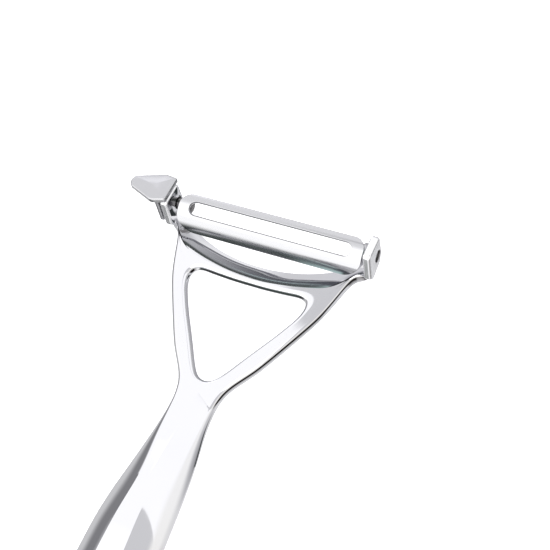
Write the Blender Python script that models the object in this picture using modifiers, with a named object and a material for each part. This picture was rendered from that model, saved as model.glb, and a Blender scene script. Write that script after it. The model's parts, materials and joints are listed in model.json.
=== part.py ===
"""A cast vegetable peeler of the Y form with a swivelling slotted blade.

Metres, +Z up. The peeler lies on the flat back of its grip. The origin is the middle of that flat,
X runs along the blade's axis and +Y points from the grip to the blade.
"""

from math import acos, atan2, cos, pi, radians, sin, tan

import bmesh
import bpy
import numpy as np
from mathutils import Matrix, Vector

# Blade and its axis
pivot_y = 0.1000
pivot_above_plate = 0.0020
blade_length = 0.0548
blade_side_shift = 0.0008
blade_thickness = 0.0010
blade_radius = 0.0075
arc_centre_y = 0.0006
arc_centre_z = -0.0035
guard_angle = 78.7
body_angle = 172.0
slot_length = 0.0480
slot_width = 0.0039
guard_width = 0.0023
guard_corner = (0.0032, 0.0036)
body_corner = (0.0055, 0.0050)
corner_power = 1.7
tab_boss_radius = 0.0026
tab_inset = 0.0001

# Pins that carry the blade in the ears
pin_diameter = 0.0027
pin_head_diameter = 0.0044
pin_head_thickness = 0.0007
pin_recess = 0.0004
running_gap = 0.0003
blade_end_gap = 0.0006

# Cast frame: plate, ears, crossbar and window
plate_thickness = 0.0032
ear_thickness = 0.0023
ear_edge_round = 0.0004
throat_depth = 0.0102
bevel_width = 0.0044
bevel_drop = 0.0025
crossbar_depth = 0.0064
front_round = 0.0004
back_round = 0.0006
throat_back_round = 0.0002
waist_half_width = 0.0058
waist_distance = 0.0525
window_tail = 0.0068

# Grip
grip_front = 0.0102
grip_half_width = 0.0103
grip_end_distance = 0.1566
grip_crown_inset = 0.0068
grip_back_inset = 0.0048
hang_hole_diameter = 0.0080
hang_hole_distance = 0.0110

# Potato-eye remover on the left ear
spade_thickness = 0.0020
spade_reach = 0.0102
spade_tip_radius = 0.0020
spade_shoulder_radius = 0.0025
spade_root_radius = 0.0004
spade_edge_round = 0.0003
flange_thickness = 0.0010
flange_foot = -0.0027
flange_corner_radius = 0.0012
flange_hidden_radius = 0.0001
flange_edge_round = 0.0002

# The eye remover's corners as offsets out and up: the spade's from the ear's side, from the tip and from
# the ear's front edges, and the flange's back from the ear's front edges or from its own foot
spade_root_rise = 0.0003
spade_upper_shoulder = (0.0012, 0.0006)
spade_lower_shoulder = (0.0016, 0.0012)
spade_upper_tip = (0.0003, 0.0026)
spade_lower_tip = (-0.0002, 0.0018)
flange_lower_setback = 0.0015
flange_hidden_setback = 0.0001
flange_upper_setback = 0.0010
flange_far_foot = (0.0026, 0.0004)

# Sizes that follow from the ones above
ear_inner = blade_length / 2 + blade_side_shift + blade_end_gap
ear_outer = ear_inner + ear_thickness
pivot_z = plate_thickness + pivot_above_plate
window_top = throat_depth + crossbar_depth
window_bottom = waist_distance - window_tail
pin_hole_diameter = pin_diameter + 2 * running_gap

# The ear's outline in the Y-Z plane, from the pivot: foot, lower front, upper front, top, back, heel
ear_outline = (
    (-0.0059, -0.0030),
    (-0.0043, 0.0060),
    (0.0034, 0.0051),
    (0.0028, -0.0012),
    (0.0010, -0.0042),
    (-0.0047, -0.0048),
)
ear_corner_radius = 0.0011

# The sizes that the head's stations are drawn on
drawn_ear_inner = 0.0288
drawn_waist_half_width = 0.0058
drawn_window_bottom = 0.0457

# Steps along the grip, from the waist: where each change of its section starts and ends
rise_steps = (-0.0005, 0.0355)
narrowing_steps = (-0.0005, 0.0275)
widest_steps = (0.0095, 0.0375)
rounding_steps = (0.0005, 0.0205)
grip_facet_share = 0.55
ending_share = 0.77


def clear_scene():
    for obj in list(bpy.data.objects):
        bpy.data.objects.remove(obj, do_unlink=True)


def collection(name):
    made = bpy.data.collections.new(name)
    bpy.context.scene.collection.children.link(made)
    return made


def material(name, colour, metallic, roughness):
    made = bpy.data.materials.new(name)
    made.use_nodes = True
    shader = made.node_tree.nodes["Principled BSDF"]
    shader.inputs["Base Color"].default_value = (*colour, 1.0)
    shader.inputs["Metallic"].default_value = metallic
    shader.inputs["Roughness"].default_value = roughness
    return made


def add_object(name, mesh, into, finish=None):
    obj = bpy.data.objects.new(name, mesh)
    into.objects.link(obj)
    if finish:
        mesh.materials.append(finish)
    return obj


def as_cutter(obj):
    obj.hide_render = True
    obj.display_type = "WIRE"
    return obj


def boolean(obj, operation, other):
    modifier = obj.modifiers.new(operation.title() + " " + other.name, "BOOLEAN")
    modifier.operation = operation
    modifier.object = other
    modifier.solver = "EXACT"


def spline(points, places):
    """A Catmull-Rom curve in which place k is point k, and both ends go on mirrored at X = 0."""
    points = np.asarray(points, float)
    padded = np.vstack([points[1] * (-1, 1), points, points[-2] * (-1, 1)])
    first = np.clip(places.astype(int), 0, len(points) - 2)
    t = (places - first)[:, None]
    a, b, c, d = (padded[first + k] for k in range(4))
    bend = 2 * a - 5 * b + 4 * c - d + t * (3 * (b - c) + d - a)
    return b + 0.5 * t * (c - a + t * bend)


def inward(path):
    """Unit normals of a plan path, to the right of its direction of travel."""
    along = np.gradient(path, axis=0)
    across = np.stack([along[:, 1], -along[:, 0]], 1)
    return across / np.linalg.norm(across, axis=1)[:, None]


def smooth_step(value, low, high):
    t = np.clip((value - low) / (high - low), 0, 1)
    return t * t * (3 - 2 * t)


def rounded_outline(corners, steps=4):
    """An outline from corners with their radii: each becomes an arc tangent to its two sides."""
    found = []
    count = len(corners)
    for k in range(count):
        before = Vector(corners[k - 1][0])
        here = Vector(corners[k][0])
        after = Vector(corners[(k + 1) % count][0])
        radius = corners[k][1]
        back = (before - here).normalized()
        on = (after - here).normalized()
        half = back.angle(on) / 2
        centre = here + (back + on).normalized() * radius / sin(half)
        start = here + back * radius / tan(half) - centre
        stop = here + on * radius / tan(half) - centre
        turn = atan2(start.x * stop.y - start.y * stop.x, start.dot(stop))
        for step in range(steps + 1):
            angle = turn * step / steps
            x = start.x * cos(angle) - start.y * sin(angle)
            y = start.x * sin(angle) + start.y * cos(angle)
            found.append((centre.x + x, centre.y + y))
    return found


def flat_plate(name, outline, thickness, into):
    """A closed mesh plate: a filled 2D curve, thickened about its own plane."""
    curve = bpy.data.curves.new(name, "CURVE")
    curve.dimensions = "2D"
    curve.fill_mode = "BOTH"
    curve.extrude = thickness / 2
    path = curve.splines.new("POLY")
    path.points.add(len(outline) - 1)
    for point, place in zip(path.points, outline):
        point.co = (place[0], place[1], 0, 1)
    path.use_cyclic_u = True
    drawn = bpy.data.objects.new(name + "_outline", curve)
    into.objects.link(drawn)
    graph = bpy.context.evaluated_depsgraph_get()
    mesh = bpy.data.meshes.new_from_object(drawn.evaluated_get(graph))
    bpy.data.objects.remove(drawn)
    work = bmesh.new()
    work.from_mesh(mesh)
    bmesh.ops.remove_doubles(work, verts=work.verts, dist=0.000001)
    bmesh.ops.dissolve_limit(work, angle_limit=radians(1), verts=work.verts, edges=work.edges)
    bmesh.ops.recalc_face_normals(work, faces=work.faces)
    work.to_mesh(mesh)
    work.free()
    mesh.name = name
    return add_object(name, mesh, into)


def soften(obj, width, segments=2):
    modifier = obj.modifiers.new("Rounded edges", "BEVEL")
    modifier.width = width
    modifier.segments = segments
    modifier.limit_method = "ANGLE"
    modifier.angle_limit = radians(35)


def head_stations():
    """Plan points at matching stations from the crossbar's middle to the window's bottom.

    Each row holds the outer edge, the edge of the flat front face and the window's edge.
    """
    side = waist_half_width - drawn_waist_half_width
    down = window_bottom / drawn_window_bottom
    throat = -throat_depth
    face = throat - bevel_width
    top = -window_top

    def at(across, y):
        return (across * ear_inner / drawn_ear_inner, y)

    def arm(across, y, share=0.0):
        return (across * ear_inner / drawn_ear_inner + side * share, y * down)

    return [
        ((0, throat), (0, face), (0, top)),
        (at(0.0060, throat + 0.0003), at(0.0052, face + 0.0003), at(0.0042, top)),
        (at(0.0120, throat + 0.0014), at(0.0110, face + 0.0015), at(0.0085, top + 0.0002)),
        (at(0.0183, throat + 0.0035), at(0.0170, face + 0.0032), at(0.0118, top + 0.0004)),
        (at(0.0240, throat + 0.0064), at(0.0219, face + 0.0052), at(0.0145, top + 0.0006)),
        ((ear_inner - 0.0006, throat + 0.0086), at(0.0256, face + 0.0084), at(0.0161, top + 0.0001)),
        ((ear_outer - 0.0009, -0.0026), at(0.0274, face + 0.0100), at(0.0168, top - 0.0006)),
        ((ear_inner + 0.0006, -0.0052), at(0.0273, face + 0.0093), at(0.0171, top - 0.0015)),
        (at(0.0271, -0.0066), at(0.0265, face + 0.0081), at(0.01715, top - 0.0025)),
        (arm(0.0257, -0.0089), None, at(0.0169, top - 0.0038)),
        (arm(0.0242, -0.0138), None, at(0.0165, top - 0.0051)),
        (arm(0.0222, -0.0198), None, at(0.0159, top - 0.0065)),
        (arm(0.0197, -0.0250, 0.3), None, arm(0.0152, -0.0244)),
        (arm(0.0171, -0.0300, 0.4), None, arm(0.0129, -0.0286)),
        (arm(0.0128, -0.0380, 0.6), None, arm(0.0085, -0.0356)),
        (arm(0.0103, -0.0417, 0.8), None, arm(0.0061, -0.0396)),
        ((0.0082 + side, -0.0447 * down), None, arm(0.0041, -0.0428)),
        ((0.0069 + side, -0.0471 * down), None, arm(0.0022, -0.0450)),
        ((0.0062 + side, -0.0493 * down), None, (0, -window_bottom)),
    ]


def grip_stations():
    """The grip's side and the point of its middle line that each station meets."""
    wide = grip_half_width
    waist = waist_half_width
    end = -grip_end_distance
    start = -waist_distance
    run = end - start
    return [
        ((waist, start), (0, start + 0.0030)),
        ((waist + 0.05 * (wide - waist), start + 0.048 * run), (0, start + 0.034 * run)),
        ((waist + 0.27 * (wide - waist), start + 0.110 * run), (0, start + 0.106 * run)),
        ((waist + 0.56 * (wide - waist), start + 0.187 * run), (0, start + 0.187 * run)),
        ((waist + 0.86 * (wide - waist), start + 0.312 * run), (0, start + 0.312 * run)),
        ((wide, start + 0.485 * run), (0, start + 0.480 * run)),
        ((wide, start + 0.665 * run), (0, start + 0.650 * run)),
        ((0.915 * wide, end + 0.0180), (0, end + 0.0210)),
        ((0.73 * wide, end + 0.0086), (0, end + 0.0152)),
        ((0.42 * wide, end + 0.0024), (0, end + 0.0118)),
        ((0, end), (0, end + 0.0100)),
    ]


def frame_sections(steps=2, face_steps=3, round_steps=3):
    """Closed sections of the frame's right half, from the crossbar to the end of the grip.

    Each runs over the front face, down the window's wall, back under the plate and up the outer edge.
    """
    head = head_stations()
    grip = grip_stations()
    head_end = len(head) - 1
    window_row = head_end * steps
    stations = len(head) + len(grip)
    places = np.arange((stations - 1) * steps + 1) / steps
    outer = spline([station[0] for station in head + grip], places)
    window = spline([station[-1] for station in head], places[: window_row + 1])
    middle = spline([head[-1][-1]] + [station[-1] for station in grip], places[window_row:] - head_end)
    inner = np.vstack([window, middle[1:]])
    outer[[0, -1], 0] = 0
    inner[0, 0] = 0
    inner[window_row:, 0] = 0
    into = inward(outer)
    into[0] = (0, -1)
    into[-1] = (0, 1)
    from_window = -inward(window)
    from_window[0] = (0, 1)
    from_window[-1] = (0, -1)

    # The crown rises from the plate's front, its flat narrows, and its widest line rises last
    along = -outer[:, 1]
    past_waist = along - waist_distance
    rise = smooth_step(past_waist, *rise_steps)
    narrowing = smooth_step(past_waist, *narrowing_steps)
    widest_rise = smooth_step(past_waist, *widest_steps)
    rounding = smooth_step(past_waist, *rounding_steps)
    front = plate_thickness + (grip_front - plate_thickness) * rise
    widest = plate_thickness - front_round
    widest = widest + (0.5 * grip_front - widest) * widest_rise

    # On the grip the flats' edges lie toward the middle line, and keep their share of the way at its end
    reach = np.linalg.norm(inner - outer, axis=1)
    toward = into + ((inner - outer) / reach[:, None] - into) * narrowing[:, None]
    ending = along > ending_share * grip_end_distance
    toward *= np.where(ending, np.minimum(reach / grip_half_width, 1), 1)[:, None]

    # The edge of the front face lies a bevel's width inside the throat, and elsewhere a fillet's
    inset = front_round + (grip_crown_inset - front_round) * narrowing
    drop = front - widest
    face = outer + toward * inset[:, None]
    marked = [station[1] for station in head if station[1]]
    last_marked = len(marked) - 1
    marked += [face[len(marked) * steps], face[(len(marked) + 1) * steps]]
    bevel_rows = (last_marked + 1) * steps
    face[:bevel_rows] = spline(marked, places[:bevel_rows])
    face[[0, -1], 0] = 0
    bevel = 1 - smooth_step(places, last_marked - 3, last_marked + 0.5)
    drop = drop + (bevel_drop - drop) * bevel

    plain = smooth_step(places, last_marked, last_marked + 3)
    low_inset = throat_back_round + (back_round - throat_back_round) * plain
    low_rise = low_inset + (widest - 2 * back_round) * np.sqrt(rounding)
    low_inset = low_inset + (grip_back_inset - back_round) * rounding
    low = outer + toward * low_inset[:, None]
    rim = inner.copy()
    rim[: window_row + 1] += from_window * front_round
    spine_share = np.interp(places, (last_marked, last_marked + 3), (0.97, 0.70))
    spine = rim + (face - rim) * spine_share[:, None]

    shares = np.linspace(0, 1, face_steps + 1)[None, :, None]
    turn = np.linspace(0, pi / 2, round_steps + 1)
    ramp = np.linspace(0, 1, round_steps + 1)
    straight = (bevel + grip_facet_share * narrowing)[:, None]
    span = (1 - np.sin(turn)) * (1 - straight) + (1 - ramp) * straight
    fall = (1 - np.cos(turn)) * (1 - straight) + ramp * straight

    def level(plan, height):
        height = np.broadcast_to(height, plan.shape[:2])
        return np.dstack([plan, height])

    front_flat = level(face[:, None] + (rim - face)[:, None] * shares, front[:, None])
    wall_plan = np.repeat(inner[:, None], 2, axis=1)
    wall = level(wall_plan, np.stack([front - front_round, np.full_like(front, front_round)], 1))
    back_plan = rim[:, None] + (spine - rim)[:, None] * np.linspace(0, 1, face_steps)[None, :, None]
    back_flat = level(np.concatenate([back_plan, low[:, None]], axis=1), 0)
    low_plan = outer[:, None] + (low - outer)[:, None] * (1 - np.sin(turn))[None, 1:, None]
    low_edge = level(low_plan, low_rise[:, None] * (1 - np.cos(turn))[None, 1:])
    top_plan = outer[:, None] + (face - outer)[:, None] * span[:, 1:, None]
    top_edge = level(top_plan, front[:, None] - drop[:, None] * fall[:, 1:])[:, ::-1]
    rows = np.concatenate([front_flat, wall, back_flat, low_edge, top_edge], axis=1)
    rows[:, :, 1] += pivot_y
    return rows, window_row, face_steps


def joined_sections(name, rows, open_columns=(0, 0), open_from=None):
    """A mesh whose faces join neighbouring closed sections; the open columns end at a row."""
    row_count, column_count = rows.shape[:2]
    open_from = row_count if open_from is None else open_from
    row, column = np.meshgrid(np.arange(row_count - 1), np.arange(column_count), indexing="ij")
    kept = (row < open_from) | (column < open_columns[0]) | (column >= open_columns[1])
    here = (row * column_count + column)[kept]
    beside = (row * column_count + (column + 1) % column_count)[kept]
    faces = np.stack([here, beside, beside + column_count, here + column_count], 1)
    mesh = bpy.data.meshes.new(name)
    mesh.from_pydata(rows.reshape(-1, 3).tolist(), [], faces.tolist())
    work = bmesh.new()
    work.from_mesh(mesh)
    loose = [vertex for vertex in work.verts if not vertex.link_faces]
    bmesh.ops.delete(work, geom=loose, context="VERTS")
    work.to_mesh(mesh)
    work.free()
    return mesh


def mirrored(obj):
    """Closes a half that is open at X = 0."""
    modifier = obj.modifiers.new("Mirror", "MIRROR")
    modifier.use_axis = (True, False, False)
    modifier.merge_threshold = 0.000002


def round_bar(name, diameter, length, place, axis, into):
    """A cylinder on the world's X or Z axis through a place."""
    mesh = bpy.data.meshes.new(name)
    work = bmesh.new()
    bmesh.ops.create_cone(
        work, cap_ends=True, segments=32, radius1=diameter / 2, radius2=diameter / 2, depth=length
    )
    work.to_mesh(mesh)
    work.free()
    bar = add_object(name, mesh, into)
    bar.location = place
    if axis == "X":
        bar.rotation_euler = (0, pi / 2, 0)
    return bar


def side_plate(name, outline, low_x, high_x, into):
    """A plate whose outline is drawn in Y and Z from the pivot, between two places on X."""
    plate = flat_plate(name, outline, high_x - low_x, into)
    to_world = Matrix(((0, 0, 1), (1, 0, 0), (0, 1, 0))).to_4x4()
    plate.matrix_world = Matrix.Translation(((low_x + high_x) / 2, pivot_y, pivot_z)) @ to_world
    return plate


def build_frame(parts, cutters, finish, bore):
    rows, window_row, face_steps = frame_sections()
    mesh = joined_sections("frame", rows, (face_steps, face_steps + 3), window_row)
    frame = add_object("frame", mesh, parts, finish)
    mirrored(frame)
    outline = rounded_outline([(corner, ear_corner_radius) for corner in ear_outline])
    for side, name in ((1, "right_ear"), (-1, "left_ear")):
        low_x, high_x = sorted((side * ear_inner, side * ear_outer))
        ear = as_cutter(side_plate(name, outline, low_x, high_x, cutters))
        soften(ear, ear_edge_round)
        boolean(frame, "UNION", ear)
    boolean(frame, "DIFFERENCE", bore)
    hole_y = pivot_y - grip_end_distance + hang_hole_distance
    place = (0, hole_y, grip_front / 2)
    hole = round_bar("hanging_hole", hang_hole_diameter, 2 * grip_front, place, "Z", cutters)
    boolean(frame, "DIFFERENCE", as_cutter(hole))
    return frame


def blade_point(x, round_the_arc, radius):
    """World place of a point of the flat pressing after it is rolled to its arc."""
    angle = radians(guard_angle) + round_the_arc / blade_radius
    y = pivot_y + arc_centre_y + radius * np.cos(angle)
    z = pivot_z + arc_centre_z + radius * np.sin(angle)
    return np.stack([x, y, z], -1)


def corner_arc(centre, reach, first, last, steps, power=2.0):
    """Points of a superellipse's arc between two angles: a power under 2 is nearer to a chamfer."""
    turn = np.radians(np.linspace(first, last, steps + 1))
    across = np.sign(np.cos(turn)) * np.abs(np.cos(turn)) ** (2 / power)
    down = np.sign(np.sin(turn)) * np.abs(np.sin(turn)) ** (2 / power)
    return [(centre[0] + reach[0] * x, centre[1] + reach[1] * y) for x, y in zip(across, down)]


def blade_sections(corner_steps=6, width_steps=5):
    """Sections of the right half of the flat pressing, from the guard's middle to the body's."""
    half = blade_length / 2
    depth = blade_radius * radians(body_angle - guard_angle)
    slot_top = guard_width
    slot_round = slot_width / 2
    slot_end = slot_length / 2 - slot_round
    outer = [(0, 0), (slot_end * 0.5, 0)]
    guard_centre = (half - guard_corner[0], guard_corner[1])
    outer += corner_arc(guard_centre, guard_corner, -90, 0, corner_steps, corner_power)
    body_centre = (half - body_corner[0], depth - body_corner[1])
    outer += corner_arc(body_centre, body_corner, 0, 90, corner_steps, corner_power)
    outer += [(slot_end * 0.5, depth), (0, depth)]
    slot_centre = (slot_end, slot_top + slot_round)
    inner = [(0, slot_top), (slot_end * 0.5, slot_top)]
    inner += corner_arc(slot_centre, (slot_round, slot_round), -90, 90, 2 * corner_steps + 1)
    inner += [(slot_end * 0.5, slot_top + slot_width), (0, slot_top + slot_width)]
    outer = np.array(outer)[:, None]
    inner = np.array(inner)[:, None]
    across = outer + (inner - outer) * np.linspace(0, 1, width_steps + 1)[None, :, None]
    top = blade_point(across[..., 0], across[..., 1], blade_radius)
    under = blade_point(across[..., 0], across[..., 1], blade_radius - blade_thickness)
    return np.concatenate([top, under[:, ::-1]], axis=1)


def tab_outline(first=108, last=143, steps=5):
    """The end tab from the pivot: an arc under the pressing and a boss round the pin, with tangents."""
    reach = blade_radius - blade_thickness / 2
    centre = Vector((arc_centre_y, arc_centre_z))
    outline = []
    for angle in np.linspace(radians(first), radians(last), steps + 1):
        outline.append(centre + reach * Vector((cos(angle), sin(angle))))
    far = outline[-1]
    near = outline[0]
    start = atan2(far.y, far.x) + acos(tab_boss_radius / far.length)
    stop = atan2(near.y, near.x) - acos(tab_boss_radius / near.length) + 2 * pi
    for angle in np.linspace(start, stop, 4 * steps + 1):
        outline.append(tab_boss_radius * Vector((cos(angle), sin(angle))))
    return outline


def build_blade(parts, cutters, finish, bore):
    blade = add_object("blade", joined_sections("blade", blade_sections()), parts, finish)
    blade.location.x = blade_side_shift
    mirrored(blade)
    for side, name in ((1, "right_tab"), (-1, "left_tab")):
        outer_face = blade_side_shift + side * (blade_length / 2 - tab_inset)
        inner_face = outer_face - side * blade_thickness
        low_x, high_x = sorted((inner_face, outer_face))
        tab = as_cutter(side_plate(name, tab_outline(), low_x, high_x, cutters))
        boolean(blade, "UNION", tab)
    boolean(blade, "DIFFERENCE", bore)
    return blade


def build_pin(name, side, parts, finish):
    """A headed pin: the head inside the tab, the shank through the tab and the ear."""
    blade_end = blade_length / 2 + side * blade_side_shift
    head_outer = blade_end - tab_inset - blade_thickness - running_gap
    head_inner = head_outer - pin_head_thickness
    shank_end = ear_outer - pin_recess
    profile = [
        (0, shank_end),
        (pin_diameter / 2, shank_end),
        (pin_diameter / 2, head_outer),
        (pin_head_diameter / 2, head_outer),
        (pin_head_diameter / 2, head_inner),
        (0, head_inner),
    ]
    mesh = bpy.data.meshes.new(name)
    edges = [(k, k + 1) for k in range(len(profile) - 1)]
    mesh.from_pydata([(radius, 0, height) for radius, height in profile], edges, [])
    pin = add_object(name, mesh, parts, finish)
    turned = pin.modifiers.new("Turned", "SCREW")
    turned.steps = 28
    turned.render_steps = 28
    turned.use_merge_vertices = True
    turned.merge_threshold = 0.000005
    pin.location = (0, pivot_y, pivot_z)
    pin.rotation_euler = (0, side * pi / 2, 0)
    return pin


def spade_outline(half, root, tip):
    """The pointed oval: a straight root on the ear, two shoulders and a blunt tip turned to the front."""
    upper_out, upper_rise = spade_upper_shoulder
    lower_out, lower_drop = spade_lower_shoulder
    corners = [
        ((root, -half), spade_root_radius),
        ((root, half + spade_root_rise), spade_root_radius),
        ((-ear_outer - upper_out, half + upper_rise), spade_shoulder_radius),
        ((tip - spade_upper_tip[0], half - spade_upper_tip[1]), spade_tip_radius),
        ((tip - spade_lower_tip[0], -spade_lower_tip[1]), spade_tip_radius),
        ((-ear_outer - lower_out, -half - lower_drop), spade_shoulder_radius),
    ]
    return rounded_outline(corners)


def flange_outline(low_front, high_front, inside):
    """The flange in Y and Z from the pivot: its upper corners lie inside the spade's thickness."""
    far_back, far_rise = flange_far_foot
    corners = [
        ((low_front.x - flange_lower_setback, flange_foot), flange_corner_radius),
        ((low_front.x - flange_hidden_setback, low_front.y + inside), flange_hidden_radius),
        ((high_front.x - flange_upper_setback, high_front.y + inside), flange_hidden_radius),
        ((high_front.x - far_back, flange_foot + far_rise), flange_corner_radius),
    ]
    return rounded_outline(corners)


def build_eye_remover(parts, cutters, finish):
    """A pressed spade that lies across the left ear's front, with a flange down the ear's outer side."""
    low_front = Vector(ear_outline[1])
    high_front = Vector(ear_outline[2])
    middle = (low_front + high_front) / 2
    slope = atan2(high_front.y - low_front.y, high_front.x - low_front.x)
    half = (high_front - low_front).length / 2
    outline = spade_outline(half, -ear_inner, -ear_outer - spade_reach)
    spade = flat_plate("eye_remover", outline, spade_thickness, parts)
    spade.data.materials.append(finish)
    lift = Matrix.Translation((0, pivot_y + middle.x, pivot_z + middle.y))
    rise = Matrix.Translation((0, 0, running_gap + spade_thickness / 2))
    spade.matrix_world = lift @ Matrix.Rotation(slope, 4, "X") @ rise
    soften(spade, spade_edge_round)
    outline = flange_outline(low_front, high_front, running_gap + spade_thickness / 2)
    outer_face = -ear_outer - running_gap
    flange = side_plate("flange", outline, outer_face - flange_thickness, outer_face, cutters)
    soften(flange, flange_edge_round)
    boolean(spade, "UNION", as_cutter(flange))
    return spade


def main():
    clear_scene()
    parts = collection("vegetable_peeler")
    cutters = collection("cutters")
    chrome = material("polished_chrome", (0.90, 0.90, 0.92), 1.0, 0.06)
    blade_steel = material("blade_steel", (0.82, 0.83, 0.84), 1.0, 0.14)
    pin_steel = material("pin_steel", (0.55, 0.55, 0.56), 1.0, 0.30)
    spade_steel = material("spade_steel", (0.74, 0.74, 0.77), 1.0, 0.20)
    bore_length = 2 * ear_outer + 2 * pin_diameter
    bore = round_bar("pin_bore", pin_hole_diameter, bore_length, (0, pivot_y, pivot_z), "X", cutters)
    as_cutter(bore)
    build_frame(parts, cutters, chrome, bore)
    build_eye_remover(parts, cutters, spade_steel)
    blade = build_blade(parts, cutters, blade_steel, bore)
    swivel = bpy.data.objects.new("blade_swivel", None)
    swivel.location = (0, pivot_y, pivot_z)
    parts.objects.link(swivel)
    pins = [
        build_pin("right_pivot_pin", 1, parts, pin_steel),
        build_pin("left_pivot_pin", -1, parts, pin_steel),
    ]
    bpy.context.view_layer.update()
    for moving in [blade, *pins]:
        moving.parent = swivel
        moving.matrix_parent_inverse = swivel.matrix_world.inverted()
    for obj in parts.objects:
        if obj.type == "MESH":
            obj.data.shade_smooth()
            obj.data.set_sharp_from_angle(angle=radians(35))


main()
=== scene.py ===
import json
from math import pi, radians

import bmesh
import bpy
import numpy as np
from mathutils import Matrix, Vector


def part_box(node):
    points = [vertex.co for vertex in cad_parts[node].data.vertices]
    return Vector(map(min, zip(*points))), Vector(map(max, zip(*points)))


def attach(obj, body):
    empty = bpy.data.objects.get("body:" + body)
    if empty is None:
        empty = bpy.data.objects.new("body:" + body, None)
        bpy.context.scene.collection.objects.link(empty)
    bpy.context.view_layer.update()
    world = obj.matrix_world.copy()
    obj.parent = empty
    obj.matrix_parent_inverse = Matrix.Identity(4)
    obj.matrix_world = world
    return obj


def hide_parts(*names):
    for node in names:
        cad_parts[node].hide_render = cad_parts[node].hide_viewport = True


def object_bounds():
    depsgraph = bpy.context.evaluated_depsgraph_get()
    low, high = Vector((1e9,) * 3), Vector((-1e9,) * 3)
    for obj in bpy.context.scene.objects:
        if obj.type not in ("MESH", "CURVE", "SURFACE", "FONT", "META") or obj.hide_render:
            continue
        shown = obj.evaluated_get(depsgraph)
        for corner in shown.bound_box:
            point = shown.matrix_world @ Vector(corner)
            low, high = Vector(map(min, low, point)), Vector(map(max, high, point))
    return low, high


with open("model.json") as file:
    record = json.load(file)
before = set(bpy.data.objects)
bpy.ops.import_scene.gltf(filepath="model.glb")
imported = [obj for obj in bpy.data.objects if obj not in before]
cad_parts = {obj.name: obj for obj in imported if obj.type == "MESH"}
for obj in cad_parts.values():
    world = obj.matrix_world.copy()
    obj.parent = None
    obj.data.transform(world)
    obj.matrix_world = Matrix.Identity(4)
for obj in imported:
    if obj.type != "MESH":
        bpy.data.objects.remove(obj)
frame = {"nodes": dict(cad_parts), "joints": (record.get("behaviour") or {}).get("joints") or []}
cadLow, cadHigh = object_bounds()
pivotPlace = np.array(frame["joints"][0]["pos_m"])
castLow, castHigh = (np.array(corner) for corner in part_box("frame"))
bladeLow, bladeHigh = (np.array(corner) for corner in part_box("blade"))
earOuter = castHigh[0]
print("frame loaded:", ", ".join(sorted(frame["nodes"])))


# Shared shape tools

# Catmull-Rom: place k is point k, and between points the curve is the cubic that leaves each point
# along the chord of its two neighbours. Past both ends the points go on mirrored at X = 0.
def catmullRom(points, places):
    points = np.asarray(points, float)
    padded = np.vstack([points[1] * (-1, 1), points, points[-2] * (-1, 1)])
    first = np.clip(places.astype(int), 0, len(points) - 2)
    t = (places - first)[:, None]
    a, b, c, d = (padded[first + k] for k in range(4))
    return b + 0.5 * t * (c - a + t * (2 * a - 5 * b + 4 * c - d + t * (3 * (b - c) + d - a)))


# Each point becomes the mean of its neighbours, weighted by a bell whose spread is half its reach. Past both
# ends the path goes on mirrored at X = 0.
def evened(path, reach):
    reach = int(reach)
    spread = reach / 2
    weights = np.exp(-0.5 * (np.arange(-reach, reach + 1) / spread) ** 2)
    weights /= weights.sum()
    flip = np.array((-1, 1))
    padded = np.vstack([path[reach:0:-1] * flip, path, path[-2:-reach - 2:-1] * flip])
    return np.stack([np.convolve(padded[:, k], weights, "valid") for k in range(2)], 1)


# Unit normals to the right of a plan path's direction of travel.
def rightNormals(path):
    along = np.gradient(path, axis=0)
    across = np.stack([along[:, 1], -along[:, 0]], 1)
    return across / np.linalg.norm(across, axis=1)[:, None]


# From 0 at low to 1 at high: 3 t^2 - 2 t^3 of the share t of the way between them.
def smoothStep(value, low, high):
    t = np.clip((value - low) / (high - low), 0, 1)
    return t * t * (3 - 2 * t)


# A quarter circle in even steps: 1 - sine is what is left of its width, 1 - cosine how far it has fallen.
def quarterRound(steps):
    turn = np.linspace(0, pi / 2, steps + 1)
    return 1 - np.sin(turn), 1 - np.cos(turn)


# Corners with radii become arcs tangent to both sides: centre + start turned by 0 to 1 of the corner's turn.
def roundedOutline(corners, steps):
    places = np.array([corner for corner, _ in corners], float)
    radius = np.array([radius for _, radius in corners], float)[:, None]
    back = np.roll(places, 1, axis=0) - places
    back /= np.linalg.norm(back, axis=1)[:, None]
    on = np.roll(places, -1, axis=0) - places
    on /= np.linalg.norm(on, axis=1)[:, None]
    half = np.arccos(np.clip((back * on).sum(1), -1, 1))[:, None] / 2
    bisector = (back + on) / np.linalg.norm(back + on, axis=1)[:, None]
    centre = places + bisector * radius / np.sin(half)
    start = places + back * radius / np.tan(half) - centre
    stop = places + on * radius / np.tan(half) - centre
    turn = np.arctan2(start[:, 0] * stop[:, 1] - start[:, 1] * stop[:, 0], (start * stop).sum(1))
    angle = turn[:, None] * np.linspace(0, 1, steps + 1)
    x = start[:, :1] * np.cos(angle) - start[:, 1:] * np.sin(angle)
    y = start[:, :1] * np.sin(angle) + start[:, 1:] * np.cos(angle)
    return (centre[:, None] + np.stack([x, y], 2)).reshape(-1, 2)


# An outline given as its distance from the origin at evenly spaced angles, read off straight sides.
def polarOutline(outline, count, sideSteps=8):
    shares = np.linspace(0, 1, sideSteps + 1)[:-1, None]
    dense = outline[:, None] + (np.roll(outline, -1, axis=0) - outline)[:, None] * shares
    dense = dense.reshape(-1, 2)
    found = np.arctan2(dense[:, 1], dense[:, 0])
    order = np.argsort(found)
    wanted = np.linspace(-pi, pi, count, endpoint=False)
    distance = np.interp(wanted, found[order], np.hypot(*dense.T)[order], period=2 * pi)
    return np.stack([distance * np.cos(wanted), distance * np.sin(wanted)], 1)


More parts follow.
